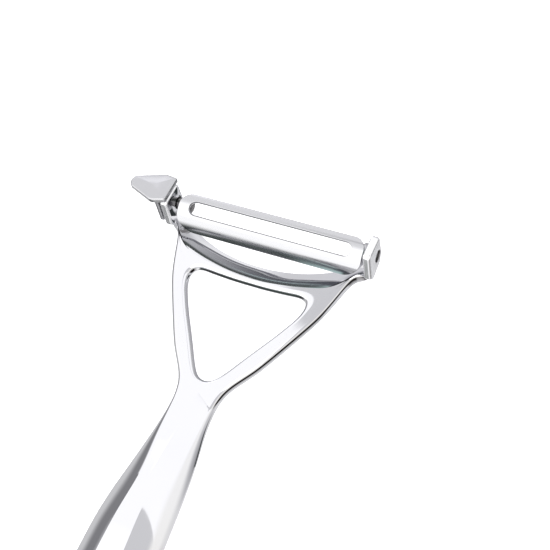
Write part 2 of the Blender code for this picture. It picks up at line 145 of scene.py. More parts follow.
# Quads between neighbouring points of a grid, which may close on itself both ways.
def gridFaces(rows, columns, closedRows=False, closedColumns=True):
    row, column = np.meshgrid(
        np.arange(rows if closedRows else rows - 1),
        np.arange(columns if closedColumns else columns - 1),
        indexing="ij",
    )
    nextRow = (row + 1) % rows
    nextColumn = (column + 1) % columns
    corners = [row * columns + column, row * columns + nextColumn, nextRow * columns + nextColumn,
               nextRow * columns + column]
    return np.stack(corners, -1).reshape(-1, 4)


# A grid of points and its faces, joined to their mirror image at X = 0.
def withMirror(rows, faces):
    points = np.concatenate([rows.reshape(-1, 3), (rows * (-1, 1, 1)).reshape(-1, 3)])
    return points, np.concatenate([faces, faces[:, ::-1] + rows.shape[0] * rows.shape[1]])


# A mesh of the given points, with doubled points merged and creases where faces meet at a sharp angle.
def addPiece(name, points, faces, body, material, sharpAngle=24, mergeDistance=5e-7):
    mesh = bpy.data.meshes.new(name)
    mesh.from_pydata(np.asarray(points).reshape(-1, 3).tolist(), [], np.asarray(faces).tolist())
    work = bmesh.new()
    work.from_mesh(mesh)
    bmesh.ops.remove_doubles(work, verts=work.verts, dist=mergeDistance)
    bmesh.ops.delete(work, geom=[v for v in work.verts if not v.link_faces], context="VERTS")
    bmesh.ops.recalc_face_normals(work, faces=work.faces)
    work.to_mesh(mesh)
    work.free()
    mesh.shade_smooth()
    mesh.set_sharp_from_angle(angle=radians(sharpAngle))
    mesh.materials.append(material)
    piece = bpy.data.objects.new(name, mesh)
    bpy.context.scene.collection.objects.link(piece)
    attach(piece, body)
    return piece


# Node tools: feed links an output to a socket or sets a number or tone in it, and the others add a node

def feed(tree, socket, value):
    if isinstance(value, bpy.types.NodeSocket):
        tree.links.new(value, socket)
    else:
        socket.default_value = (*value, 1) if isinstance(value, tuple) else value


def mathNode(tree, operation, first, second):
    node = tree.nodes.new("ShaderNodeMath")
    node.operation = operation
    feed(tree, node.inputs[0], first)
    feed(tree, node.inputs[1], second)
    return node.outputs[0]


# From the first tone at factor 0 to the second at 1. A colour mix has its tones in sockets 6 and 7.
def mixNode(tree, factor, first, second):
    node = tree.nodes.new("ShaderNodeMix")
    node.data_type = "RGBA"
    feed(tree, node.inputs[0], factor)
    feed(tree, node.inputs[6], first)
    feed(tree, node.inputs[7], second)
    return node.outputs[2]


def noiseNode(tree, place, scale, detail):
    node = tree.nodes.new("ShaderNodeTexNoise")
    node.inputs["Scale"].default_value = scale
    node.inputs["Detail"].default_value = detail
    tree.links.new(place, node.inputs["Vector"])
    return node.outputs["Fac"]


def rangeNode(tree, value, low, high):
    node = tree.nodes.new("ShaderNodeMapRange")
    tree.links.new(value, node.inputs["Value"])
    node.inputs["From Min"].default_value = low
    node.inputs["From Max"].default_value = high
    return node


# Materials: one Principled shader each. Its colour follows a cloudy noise on Object coordinates, its
# roughness that noise times a fine grain, and its relief the grain, which can be stretched along an axis.

noiseValues = {
    "cloudDetail": 3,
    "grainDetail": 4,
    "usualRange": (0.10, 0.40),
}


def metalMaterial(name, v):
    made = bpy.data.materials.new(name)
    made.use_nodes = True
    tree = made.node_tree
    shader = tree.nodes["Principled BSDF"]
    shader.inputs["Metallic"].default_value = v["metallic"]
    place = tree.nodes.new("ShaderNodeTexCoord").outputs["Object"]
    stretch = tree.nodes.new("ShaderNodeMapping")
    stretch.inputs["Scale"].default_value = v["stretch"]
    tree.links.new(place, stretch.inputs["Vector"])
    cloud = noiseNode(tree, place, v["cloudScale"], noiseValues["cloudDetail"])
    grain = noiseNode(tree, stretch.outputs["Vector"], v["grainScale"], noiseValues["grainDetail"])

    tone = mixNode(tree, cloud, v["colour"], v["secondColour"])
    tree.links.new(tone, shader.inputs["Base Color"])

    rough = rangeNode(tree, mathNode(tree, "MULTIPLY", cloud, grain), *noiseValues["usualRange"])
    rough.inputs["To Min"].default_value, rough.inputs["To Max"].default_value = v["roughness"]
    tree.links.new(rough.outputs["Result"], shader.inputs["Roughness"])

    relief = tree.nodes.new("ShaderNodeBump")
    relief.inputs["Strength"].default_value = v["relief"]
    relief.inputs["Distance"].default_value = v["reliefDepth"]
    tree.links.new(grain, relief.inputs["Height"])
    tree.links.new(relief.outputs["Normal"], shader.inputs["Normal"])
    return made


chromeValues = {
    "colour": (0.90, 0.90, 0.93),
    "secondColour": (0.94, 0.94, 0.95),
    "metallic": 1.0,
    "roughness": (0.03, 0.07),
    "cloudScale": 60.0,
    "grainScale": 900.0,
    "stretch": (1.0, 0.25, 1.0),
    "relief": 0.02,
    "reliefDepth": 0.00002,
}
earChromeValues = {
    "colour": (0.88, 0.88, 0.90),
    "secondColour": (0.93, 0.93, 0.94),
    "metallic": 0.78,
    "roughness": (0.14, 0.22),
    "cloudScale": 180.0,
    "grainScale": 1200.0,
    "stretch": (1.0, 1.0, 1.0),
    "relief": 0.05,
    "reliefDepth": 0.00002,
}
bladeSteelValues = {
    "colour": (0.62, 0.62, 0.64),
    "secondColour": (0.66, 0.66, 0.67),
    "metallic": 1.0,
    "roughness": (0.13, 0.19),
    "cloudScale": 80.0,
    "grainScale": 1400.0,
    "stretch": (0.06, 1.0, 1.0),
    "relief": 0.012,
    "reliefDepth": 0.00002,
}
spadeSteelValues = {
    "colour": (0.51, 0.51, 0.53),
    "secondColour": (0.55, 0.55, 0.56),
    "metallic": 0.80,
    "roughness": (0.10, 0.17),
    "cloudScale": 120.0,
    "grainScale": 2200.0,
    "stretch": (1.0, 1.0, 1.0),
    "relief": 0.05,
    "reliefDepth": 0.00002,
}
# The pins' dark steel. The same dark tone is put on the ears' bores as painted shade in the bore.
pinSteelAndBoreShadeValues = {
    "colour": (0.26, 0.25, 0.25),
    "secondColour": (0.36, 0.35, 0.35),
    "metallic": 1.0,
    "roughness": (0.18, 0.30),
    "cloudScale": 300.0,
    "grainScale": 4000.0,
    "stretch": (0.2, 1.0, 1.0),
    "relief": 0.10,
    "reliefDepth": 0.00003,
}
chrome = metalMaterial("polishedChrome", chromeValues)
earChrome = metalMaterial("softEarChrome", earChromeValues)
bladeSteel = metalMaterial("polishedBladeSteel", bladeSteelValues)
spadeSteel = metalMaterial("satinSpadeSteel", spadeSteelValues)
pinSteelAndBoreShade = metalMaterial("dullPinSteel", pinSteelAndBoreShadeValues)
print("materials made")


# The casting: grip, neck, arms and crossbar

castValues = {
    "plateThickness": 0.0032,
    "throatDepth": 0.0102,
    "bevelWidth": 0.00515,
    "bevelDrop": 0.0025,
    "bevelWave": 0.20,
    "crossbarDepth": 0.0064,
    "earInner": 0.0288,
    "frontInset": 0.0010,
    "frontDrop": 0.0012,
    "backRound": 0.0006,
    "throatBackRound": 0.0002,
    "windowInset": 0.0011,
    "windowDrop": 0.0016,
    "waistHalfWidth": 0.0058,
    "waistDistance": 0.0525,
    "windowTail": 0.0068,
    "gripFront": 0.0102,
    "gripHalfWidth": 0.0103,
    "gripCrownInset": 0.0068,
    "gripBackInset": 0.0048,
    "gripFacetShare": 0.55,
    "gripWidestShare": 0.5,
    "riseSteps": (-0.0005, 0.0355),  # these four pairs are distances past the waist
    "narrowingSteps": (-0.0005, 0.0275),
    "widestSteps": (0.0095, 0.0375),
    "roundingSteps": (0.0005, 0.0205),
    "riseStartShare": 0.25,
    "endingShare": 0.77,  # of the way from the pivot to the grip's end
    "bevelFade": (-3, 0.5),  # in stations past the bevel's last one
    "plainFade": 3,  # in stations as well
    "spineShares": (0.97, 0.70),
    "eveningShare": 0.7,  # of the steps between two stations
    "holeRadius": 0.0040,
    "holeDistance": 0.0110,
    "holeRound": 0.0006,
    "holeSteps": 96,
    "holeMerge": 5e-7,
    "sharpAngle": 16,
    "stationSteps": 12,
    "faceSteps": 6,
    "backSteps": 2,
    "roundSteps": 12,
}


# Plan points from the pivot at matching stations: the outer edge, the bevel's border where there is one, and
# the window's edge.
def headStations(v):
    throat = -v["throatDepth"]
    face = throat - v["bevelWidth"]
    top = -(v["throatDepth"] + v["crossbarDepth"])
    inner = v["earInner"]
    bottom = -(v["waistDistance"] - v["windowTail"])
    return [
        ((0, throat), (0, face), (0, top)),
        ((0.0060, throat + 0.0003), (0.0052, face + 0.0003), (0.0042, top)),
        ((0.0120, throat + 0.0014), (0.0110, face + 0.0011), (0.0085, top + 0.0002)),
        ((0.0183, throat + 0.0035), (0.0170, face + 0.0022), (0.0118, top + 0.0004)),
        ((0.0240, throat + 0.0064), (0.0217, face + 0.0040), (0.0145, top + 0.0006)),
        ((inner - 0.0006, throat + 0.0086), (0.0252, face + 0.0072), (0.0161, top + 0.0001)),
        ((earOuter - 0.0009, -0.0026), (0.0271, face + 0.0101), (0.0168, top - 0.0006)),
        ((inner + 0.0006, -0.0052), (0.0271, face + 0.0098), (0.0171, top - 0.0015)),
        ((0.0271, -0.0066), (0.0264, face + 0.0088), (0.01715, top - 0.0025)),
        ((0.0257, -0.0089), None, (0.0169, top - 0.0038)),
        ((0.0242, -0.0138), None, (0.0165, top - 0.0051)),
        ((0.0222, -0.0198), None, (0.0159, top - 0.0065)),
        ((0.0197, -0.0250), None, (0.0152, -0.0244)),
        ((0.0171, -0.0300), None, (0.0129, -0.0286)),
        ((0.0128, -0.0380), None, (0.0085, -0.0356)),
        ((0.0103, -0.0417), None, (0.0061, -0.0396)),
        ((0.0082, -0.0447), None, (0.0041, -0.0428)),
        ((0.0069, -0.0471), None, (0.0022, -0.0450)),
        ((0.0062, -0.0493), None, (0, bottom)),
    ]


# The grip's side and the point of its middle line that each station meets.
def gripStations(v):
    wide = v["gripHalfWidth"]
    waist = v["waistHalfWidth"]
    start = -v["waistDistance"]
    end = castLow[1] - pivotPlace[1]
    run = end - start
    swell = wide - waist
    return [
        ((waist, start), (0, start + 0.0030)),
        ((waist + 0.05 * swell, start + 0.048 * run), (0, start + 0.034 * run)),
        ((waist + 0.27 * swell, start + 0.110 * run), (0, start + 0.106 * run)),
        ((waist + 0.56 * swell, start + 0.187 * run), (0, start + 0.187 * run)),
        ((waist + 0.86 * swell, start + 0.312 * run), (0, start + 0.312 * run)),
        ((wide, start + 0.485 * run), (0, start + 0.480 * run)),
        ((wide, start + 0.665 * run), (0, start + 0.650 * run)),
        ((0.915 * wide, end + 0.0180), (0, end + 0.0210)),
        ((0.73 * wide, end + 0.0086), (0, end + 0.0152)),
        ((0.42 * wide, end + 0.0024), (0, end + 0.0118)),
        ((0, end), (0, end + 0.0100)),
    ]


# Half the casting as closed sections along its outer edge. Across a section: the front face, the window's
# wall with quarter-round edges, the flat back, and the outer edge, which is part quarter ellipse and part
# straight facet. The bevel falls by the share s of the way out, less a part of (1 - s) sin(2 pi s) / (2 pi).
# Smooth steps along the grip raise its crown, narrow its flat and lift its widest line. The crown starts to
# rise at a crease, because part of its rise is 1 - (1 - t)^2 there.
def castSections(v):
    steps, faceSteps, roundSteps = v["stationSteps"], v["faceSteps"], v["roundSteps"]
    head, grip = headStations(v), gripStations(v)
    headEnd = len(head) - 1
    windowRow = headEnd * steps
    places = np.arange((len(head) + len(grip) - 1) * steps + 1) / steps
    reach = v["eveningShare"] * steps
    outer = evened(catmullRom([s[0] for s in head + grip], places), reach)
    window = evened(catmullRom([s[-1] for s in head], places[: windowRow + 1]), reach)
    rimEnd = (0, head[-1][-1][1] - v["windowInset"])
    middle = catmullRom([rimEnd] + [s[-1] for s in grip], places[windowRow:] - headEnd)
    inner = np.vstack([window, middle[1:]])
    outer[[0, -1], 0] = 0
    inner[0, 0] = 0
    inner[windowRow:, 0] = 0
    into = rightNormals(outer)
    into[0] = (0, -1)
    into[-1] = (0, 1)
    fromWindow = -rightNormals(window)
    fromWindow[0] = (0, 1)
    fromWindow[-1] = (0, -1)

    pastWaist = -outer[:, 1] - v["waistDistance"]
    creaseRow = int(np.argmax(pastWaist > 0)) - 1
    pastCrease = np.maximum(pastWaist - pastWaist[creaseRow], 0)
    quick = 1 - (1 - np.minimum(pastCrease / v["riseSteps"][1], 1)) ** 2
    rise = smoothStep(pastWaist, *v["riseSteps"])
    rise = rise + (quick - rise) * v["riseStartShare"] * (pastCrease > 0)
    narrowing = smoothStep(pastWaist, *v["narrowingSteps"])
    rounding = smoothStep(pastWaist, *v["roundingSteps"])
    front = v["plateThickness"] + (v["gripFront"] - v["plateThickness"]) * rise
    widest = v["plateThickness"] - v["frontDrop"]
    gripWidest = v["gripWidestShare"] * v["gripFront"]
    widest = widest + (gripWidest - widest) * smoothStep(pastWaist, *v["widestSteps"])

    depth = np.linalg.norm(inner - outer, axis=1)
    toward = into + ((inner - outer) / depth[:, None] - into) * narrowing[:, None]
    ending = -outer[:, 1] > v["endingShare"] * (pivotPlace[1] - castLow[1])
    toward *= np.where(ending, np.minimum(depth / v["gripHalfWidth"], 1), 1)[:, None]

    inset = v["frontInset"] + (v["gripCrownInset"] - v["frontInset"]) * narrowing
    drop = front - widest
    face = outer + toward * inset[:, None]
    marked = [s[1] for s in head if s[1]]
    lastMarked = len(marked) - 1
    marked += [face[len(marked) * steps], face[(len(marked) + 1) * steps]]
    bevelRows = (lastMarked + 1) * steps
    face[:bevelRows] = catmullRom(marked, places[:bevelRows])
    face = evened(face, reach)
    face[[0, -1], 0] = 0
    bevel = 1 - smoothStep(places - lastMarked, *v["bevelFade"])
    drop = drop + (v["bevelDrop"] - drop) * bevel

    plain = smoothStep(places - lastMarked, 0, v["plainFade"])
    lowInset = v["throatBackRound"] + (v["backRound"] - v["throatBackRound"]) * plain
    lowRise = lowInset + (widest - 2 * v["backRound"]) * np.sqrt(rounding)
    lowInset = lowInset + (v["gripBackInset"] - v["backRound"]) * rounding
    low = outer + toward * lowInset[:, None]
    rim = inner.copy()
    rim[: windowRow + 1] += fromWindow * v["windowInset"]
    spineShare = np.interp(places - lastMarked, (0, v["plainFade"]), v["spineShares"])
    spine = rim + (face - rim) * spineShare[:, None]

    away, down = quarterRound(roundSteps)
    ramp = np.linspace(0, 1, roundSteps + 1)
    wave = (1 - ramp) * np.sin(2 * pi * ramp) / (2 * pi)
    eased = ramp - v["bevelWave"] * wave * bevel[:, None]
    straight = (bevel + v["gripFacetShare"] * narrowing)[:, None]
    span = away * (1 - straight) + (1 - ramp) * straight
    fall = down * (1 - straight) + eased * straight

    def level(plan, height):
        return np.dstack([plan, np.broadcast_to(height, plan.shape[:2])])

    across = np.linspace(0, 1, faceSteps + 1)[None, :, None]
    frontFlat = level(face[:, None] + (rim - face)[:, None] * across, front[:, None])
    wallPlan = inner[:, None] + (rim - inner)[:, None] * away[None, :, None]
    wallDrop = v["windowDrop"] * down
    wallTop = level(wallPlan[:, 1:], front[:, None] - wallDrop[1:])
    wallFoot = level(wallPlan[:, ::-1][:, 1:-1], wallDrop[None, ::-1][:, 1:-1] + 0 * front[:, None])
    backShare = np.linspace(0, 1, v["backSteps"] + 1)
    backPlan = rim[:, None] + (spine - rim)[:, None] * backShare[None, :, None]
    backFlat = level(np.concatenate([backPlan, low[:, None]], axis=1), 0)
    lowPlan = outer[:, None] + (low - outer)[:, None] * away[None, 1:, None]
    lowEdge = level(lowPlan, lowRise[:, None] * down[None, 1:])
    topPlan = outer[:, None] + (face - outer)[:, None] * span[:, 1:, None]
    topEdge = level(topPlan, front[:, None] - drop[:, None] * fall[:, 1:])[:, ::-1]
    rows = np.concatenate([frontFlat, wallTop, wallFoot, backFlat, lowEdge, topEdge], axis=1)
    rows[:, :, 1] += pivotPlace[1]
    openColumns = (faceSteps, faceSteps + 2 * roundSteps)
    return rows, windowRow, openColumns, rows[creaseRow, : faceSteps + 1]


# The hanging hole's cutter: a bar on the hole's middle line, flared by quarter circles at the flat back and
# at the crown, where the flare's height follows the facets: lower by their slope beyond the crown's flat.
def holeCutter(v):
    angle = np.linspace(0, 2 * pi, v["holeSteps"], endpoint=False)[:, None]
    away, down = quarterRound(v["roundSteps"])
    flare = v["holeRadius"] + v["holeRound"] * away
    sink = v["holeRound"] * down
    crown = v["gripHalfWidth"] - v["gripCrownInset"]
    slope = v["gripFacetShare"] * (1 - v["gripWidestShare"]) * v["gripFront"] / v["gripCrownInset"]
    beyond = np.maximum(flare[0] * np.abs(np.cos(angle)) - crown, 0)
    top = v["gripFront"] - slope * beyond
    radius = np.concatenate([[0], flare[:1], flare, flare[::-1], flare[:1], [0]])
    low = np.concatenate([[-v["holeRound"]] * 2, sink]) + 0 * angle
    cap = np.full((len(angle), 2), v["gripFront"] + v["holeRound"])
    z = np.concatenate([low, top - sink[::-1], cap], axis=1)
    x = radius * np.cos(angle)
    y = castLow[1] + v["holeDistance"] + radius * np.sin(angle)
    points = np.stack([x, y, z], -1)
    return points, gridFaces(*points.shape[:2], closedRows=True, closedColumns=False)


# The solid inside the given closed surface is taken out of a piece.
def cutHole(v, piece, points, faces):
    mesh = bpy.data.meshes.new("holeCutter")
    mesh.from_pydata(points.reshape(-1, 3).tolist(), [], faces.tolist())
    work = bmesh.new()
    work.from_mesh(mesh)
    bmesh.ops.remove_doubles(work, verts=work.verts, dist=v["holeMerge"])
    bmesh.ops.recalc_face_normals(work, faces=work.faces)
    work.to_mesh(mesh)
    work.free()
    mesh.shade_smooth()
    cutter = bpy.data.objects.new("holeCutter", mesh)
    bpy.context.scene.collection.objects.link(cutter)
    cut = piece.modifiers.new("hole", "BOOLEAN")
    cut.operation = "DIFFERENCE"
    cut.solver = "EXACT"
    cut.object = cutter
    cutMesh = bpy.data.meshes.new_from_object(piece.evaluated_get(bpy.context.evaluated_depsgraph_get()))
    piece.modifiers.clear()
    piece.data = cutMesh
    cutMesh.set_sharp_from_angle(angle=radians(v["sharpAngle"]))
    bpy.data.objects.remove(cutter)
    bpy.data.meshes.remove(mesh)


# The edges between the given points, and their mirror images, become a crease in the smooth shading.
def markCrease(mesh, points, near=1e-6):
    places = np.empty(3 * len(mesh.vertices))
    mesh.vertices.foreach_get("co", places)
    apart = np.abs(places.reshape(-1, 3)) - np.abs(points[:, None])
    marked = (np.abs(apart).max(2) < near).any(0)
    ends = np.empty(2 * len(mesh.edges), int)
    mesh.edges.foreach_get("vertices", ends)
    sharp = np.empty(len(mesh.edges), bool)
    mesh.attributes["sharp_edge"].data.foreach_get("value", sharp)
    sharp |= marked[ends.reshape(-1, 2)].all(1)
    mesh.attributes["sharp_edge"].data.foreach_set("value", sharp)


# Half the sections' grid, joined to its mirror image at X = 0. Past the window the sections are open there.
def buildCasting(v):
    rows, windowRow, openColumns, creasePoints = castSections(v)
    faces = gridFaces(*rows.shape[:2])
    row, column = np.divmod(faces[:, 0], rows.shape[1])
    kept = (row < windowRow) | (column < openColumns[0]) | (column >= openColumns[1])
    points, faces = withMirror(rows, faces[kept])
    casting = addPiece("casting", points, faces, "frame", chrome, v["sharpAngle"])
    cutHole(v, casting, *holeCutter(v))
    markCrease(casting.data, creasePoints)
    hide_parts("frame")


# A plate across X with a round bore, closed both ways: round the outline, and across a section that runs
# over one flat, round its outer edge, over the other flat and back through the bore. All edges are quarter
# rounds.
def boredPlate(outline, lowX, highX, edgeRound, boreRadius, boreRound, count=240, edgeSteps=6):
    ring = polarOutline(outline, count)
    normal = rightNormals(np.vstack([ring[-1:], ring, ring[:1]]))[1:-1]
    normal *= np.sign((normal * ring).sum(1))[:, None]
    spoke = ring / np.linalg.norm(ring, axis=1)[:, None]
    away, down = quarterRound(edgeSteps)
    edge = ring[:, None] - normal[:, None] * (edgeRound * away)[None, :, None]
    bore = spoke[:, None] * (boreRadius + boreRound * away)[None, :, None]
    edgeFall, boreFall = edgeRound * down, boreRound * down
    plan = np.concatenate([edge, edge[:, ::-1], bore, bore[:, ::-1]], axis=1)
    depth = np.concatenate([highX - edgeFall, lowX + edgeFall[::-1], lowX + boreFall, highX - boreFall[::-1]])
    depth = np.broadcast_to(depth[None, :, None], (*plan.shape[:2], 1))
    points = np.concatenate([depth, plan + pivotPlace[1:]], axis=2)
    return points, gridFaces(*points.shape[:2], closedRows=True)


earValues = {
    "outline": ((-0.0059, -0.0030), (-0.0043, 0.0060), (0.0034, 0.0051), (0.0028, -0.0012),
                (0.0010, -0.0042), (-0.0047, -0.0048)),
    "cornerRadius": 0.0014,
    "cornerSteps": 14,
    "thickness": 0.0023,
    "edgeRound": 0.0007,
    "boreRadius": 0.00165,
    "boreRound": 0.00018,
    "innerShare": 0.98,  # the least inward part of a mirrored face's normal
}


# The ears are bored plates at the casting's sides. They are satin, but their inner faces keep the casting's
# mirror finish, and their bores take the dark pin steel as painted shade in the bore.
def buildEars(v):
    outline = roundedOutline([(corner, v["cornerRadius"]) for corner in v["outline"]], v["cornerSteps"])
    for side, name in ((1, "rightEar"), (-1, "leftEar")):
        lowX, highX = sorted((side * earOuter, side * (earOuter - v["thickness"])))
        points, faces = boredPlate(outline, lowX, highX, v["edgeRound"], v["boreRadius"], v["boreRound"])
        ear = addPiece(name, points, faces, "frame", earChrome)
        ear.data.materials.append(chrome)
        ear.data.materials.append(pinSteelAndBoreShade)
        normals, centres = np.empty((2, 3 * len(ear.data.polygons)))
        ear.data.polygons.foreach_get("normal", normals)
        ear.data.polygons.foreach_get("center", centres)
        inward = -side * normals[::3] > v["innerShare"]
        fromPivot = np.hypot(centres[1::3] - pivotPlace[1], centres[2::3] - pivotPlace[2])
        # The bore's faces take the dark pin steel: painted shade in the bore.
        shadedBore = fromPivot < v["boreRadius"] + v["boreRound"]
        ear.data.polygons.foreach_set("material_index", np.where(shadedBore, 2, inward))


buildCasting(castValues)
buildEars(earValues)
print("casting and ears made")


# The blade: one pressing rolled to an arc about an axis beside the pivot

bladeValues = {
    "radius": 0.0075,
    "centre": (0.0006, -0.0035),
    "thickness": 0.0010,
    "guardAngle": 78.7,  # degrees round the arc's axis, as the next
    "bodyAngle": 172.0,
    "guardWidth": 0.0023,
    "slotLength": 0.0480,
    "slotWidth": 0.0039,
    "guardCorner": (0.0032, 0.0036),
    "bodyCorner": (0.0055, 0.0050),
    "cornerPower": 1.7,
    "edgeRound": 0.00018,
    "straightSteps": 8,
    "cornerSteps": 16,
    "sideSteps": 10,
    "widthSteps": 18,
    "edgeSteps": 4,
}


# A flat point's rolled place: angle = first angle + distance round / radius, on a circle of a given radius.
def rolledPlace(v, x, around, radius):
    angle = radians(v["guardAngle"]) + around / v["radius"]
    y = pivotPlace[1] + v["centre"][0] + radius * np.cos(angle)
    z = pivotPlace[2] + v["centre"][1] + radius * np.sin(angle)
    return np.stack([x, y, z], -1)


# A corner as part of a superellipse: |cos|^(2/power), |sin|^(2/power) scaled by the corner's reach.
def cornerArc(centre, reach, first, last, steps, power=2.0):
    turn = np.radians(np.linspace(first, last, steps + 1))
    across = np.sign(np.cos(turn)) * np.abs(np.cos(turn)) ** (2 / power)
    down = np.sign(np.sin(turn)) * np.abs(np.sin(turn)) ** (2 / power)
    return np.stack([centre[0] + reach[0] * across, centre[1] + reach[1] * down], 1)


# Even steps from one point to another.
def straightRun(start, stop, steps):
    return np.linspace(start, stop, steps + 1)


# Right half of the flat pressing: matching points on the outer edge and the slot's edge.
def bladeRings(v):
    half = (bladeHigh[0] - bladeLow[0]) / 2
    depth = v["radius"] * radians(v["bodyAngle"] - v["guardAngle"])
    slotRound = v["slotWidth"] / 2
    slotEnd = v["slotLength"] / 2 - slotRound
    slotTop = v["guardWidth"]
    guardX, guardY = v["guardCorner"]
    bodyX, bodyY = v["bodyCorner"]
    arcs, sides, runs = v["cornerSteps"], v["sideSteps"], v["straightSteps"]
    outer = [
        straightRun((0, 0), (half - guardX, 0), runs)[:-1],
        cornerArc((half - guardX, guardY), v["guardCorner"], -90, 0, arcs, v["cornerPower"]),
        straightRun((half, guardY), (half, depth - bodyY), sides)[1:-1],
        cornerArc((half - bodyX, depth - bodyY), v["bodyCorner"], 0, 90, arcs, v["cornerPower"]),
        straightRun((half - bodyX, depth), (0, depth), runs)[1:],
    ]
    inner = [
        straightRun((0, slotTop), (slotEnd, slotTop), runs)[:-1],
        cornerArc((slotEnd, slotTop + slotRound), (slotRound, slotRound), -90, 90, 2 * arcs + sides),
        straightRun((slotEnd, slotTop + v["slotWidth"]), (0, slotTop + v["slotWidth"]), runs)[1:],
    ]
    return np.concatenate(outer), np.concatenate(inner)


# Closed sections between the outer edge and the slot: over the top, round the outer edge, back underneath
# and round the slot's edge. Each edge is a half circle of the sheet's thickness, flattened.
def buildBlade(v):
    outer, inner = bladeRings(v)
    shares = np.linspace(0, 1, v["widthSteps"] + 1)[None, :, None]
    across = inner[:, None] + (outer - inner)[:, None] * shares
    away = outer - inner
    away /= np.linalg.norm(away, axis=1)[:, None]
    top = v["radius"]
    thickness = v["thickness"]
    turn = np.linspace(0, pi, 2 * v["edgeSteps"] + 1)[1:-1]
    bulge = v["edgeRound"] * np.sin(turn)
    level = top - thickness / 2 + thickness / 2 * np.cos(turn)
    outerEdge = (outer - away * v["edgeRound"])[:, None] + away[:, None] * bulge[None, :, None]
    innerEdge = (inner + away * v["edgeRound"])[:, None] - away[:, None] * bulge[None, :, None]
    shrink = 2 * v["edgeRound"] / np.linalg.norm(outer - inner, axis=1)[:, None, None]
    across = across + (0.5 - shares) * shrink * (outer - inner)[:, None]
    sheet = [
        rolledPlace(v, across[..., 0], across[..., 1], top),
        rolledPlace(v, outerEdge[..., 0], outerEdge[..., 1], level[None, :]),
        rolledPlace(v, across[:, ::-1, 0], across[:, ::-1, 1], top - thickness),
        rolledPlace(v, innerEdge[:, ::-1, 0], innerEdge[:, ::-1, 1], level[None, ::-1]),
    ]
    rows = np.concatenate(sheet, axis=1)
    rows[[0, -1], :, 0] = 0
    points, faces = withMirror(rows, gridFaces(*rows.shape[:2]))
    points[:, 0] += (bladeHigh[0] + bladeLow[0]) / 2
    sheetPiece = addPiece("bladeSheet", points, faces, "blade", bladeSteel)
    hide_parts("blade")


tabValues = {
    "bossRadius": 0.0026,
    "boreRadius": 0.00165,
    "inset": 0.0001,
    "arcAngles": (108, 143),  # degrees round the arc's axis
    "edgeRound": 0.00015,
}


# An end tab from the pivot: an arc under the pressing joined by tangents to a boss round the pin.
def tabOutline(v, steps=16):
    reach = bladeValues["radius"] - bladeValues["thickness"] / 2
    angles = np.radians(np.linspace(*v["arcAngles"], steps))
    arc = np.array(bladeValues["centre"]) + reach * np.stack([np.cos(angles), np.sin(angles)], 1)
    distance = np.hypot(*arc.T)
    bearing = np.arctan2(arc[:, 1], arc[:, 0])
    first = bearing[-1] + np.arccos(v["bossRadius"] / distance[-1])
    last = bearing[0] - np.arccos(v["bossRadius"] / distance[0]) + 2 * pi
    boss = np.linspace(first, last, 4 * steps)
    return np.concatenate([arc, v["bossRadius"] * np.stack([np.cos(boss), np.sin(boss)], 1)])


# Both tabs are bored plates of the sheet's thickness, just inside the blade's ends.
def buildTabs(v):
    outline = tabOutline(v)
    for side, name, end in ((1, "rightTab", bladeHigh[0]), (-1, "leftTab", bladeLow[0])):
        outerFace = end - side * v["inset"]
        lowX, highX = sorted((outerFace, outerFace - side * bladeValues["thickness"]))
        points, faces = boredPlate(outline, lowX, highX, v["edgeRound"], v["boreRadius"], v["edgeRound"])
        addPiece(name, points, faces, "blade", bladeSteel)


pinValues = {
    "radius": 0.00135,
    "headThickness": 0.0007,
    "headRadius": 0.0022,
    "endRound": 0.0003,
    "headRoundShare": 0.4,
    "roundSteps": 4,
    "steps": 64,
}


# A turned pin: its profile of radius and height, spun in even steps round the blade's axis.
def buildPins(v):
    for side, name, node in ((1, "rightPin", "right_pivot_pin"), (-1, "leftPin", "left_pivot_pin")):
        low, high = (np.array(corner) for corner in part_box(node))
        near, far = (low[0], high[0]) if side > 0 else (high[0], low[0])
        head = near + side * v["headThickness"]
        away, down = quarterRound(v["roundSteps"])
        headRound = v["headRoundShare"] * v["endRound"]
        endRadius = v["radius"] - v["endRound"] * away
        endPlace = far - side * v["endRound"] * down
        headRadius = v["headRadius"] - headRound * away
        headPlace = near + side * headRound * down
        radius = np.concatenate([[0], endRadius, [v["radius"], v["headRadius"]], headRadius[::-1], [0]])
        place = np.concatenate([[far], endPlace, [head, head], headPlace[::-1], [near]])
        angle = np.linspace(0, 2 * pi, v["steps"], endpoint=False)
        x = np.broadcast_to(place[None, :], (len(angle), len(place)))
        y = pivotPlace[1] + radius[None, :] * np.cos(angle)[:, None]
        z = pivotPlace[2] + radius[None, :] * np.sin(angle)[:, None]
        points = np.stack([x, y, z], -1)
        faces = gridFaces(*points.shape[:2], closedRows=True, closedColumns=False)
        pin = addPiece(name, points, faces, "blade", pinSteelAndBoreShade, mergeDistance=1e-6)
        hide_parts(node)


buildBlade(bladeValues)
buildTabs(tabValues)
buildPins(pinValues)
print("blade and pins made")


# The eye remover: a pointed-oval spade across the left ear's front, with a flange down the ear's side

spadeValues = {
    "thickness": 0.0020,
    "reach": 0.0102,
    "corners": (  # base, side of the middle line, shift, radius
        ("root", -1, (0, 0), 0.0004), ("root", 1, (0, 0.0003), 0.0004),
        ("shoulder", 1, (-0.0012, 0.0006), 0.0025), ("tip", 1, (-0.0003, -0.0026), 0.0020),
        ("tip", 0, (0.0002, -0.0018), 0.0020), ("shoulder", -1, (-0.0016, -0.0012), 0.0025),
    ),
    "cornerSteps": 16,
    "edgeRound": 0.00045,
    "dome": 0.00025,
    "gap": 0.0003,
    "flangeThickness": 0.0010,
    "flangeFoot": -0.0027,
    "flangeFootRise": 0.0004,
    "flangeInsets": (0.0015, 0.0001, 0.0010, 0.0026),
    "flangeRadii": (0.0012, 0.0001, 0.0001, 0.0012),
    "flangeSteps": 12,
    "flangeRound": 0.0003,
}


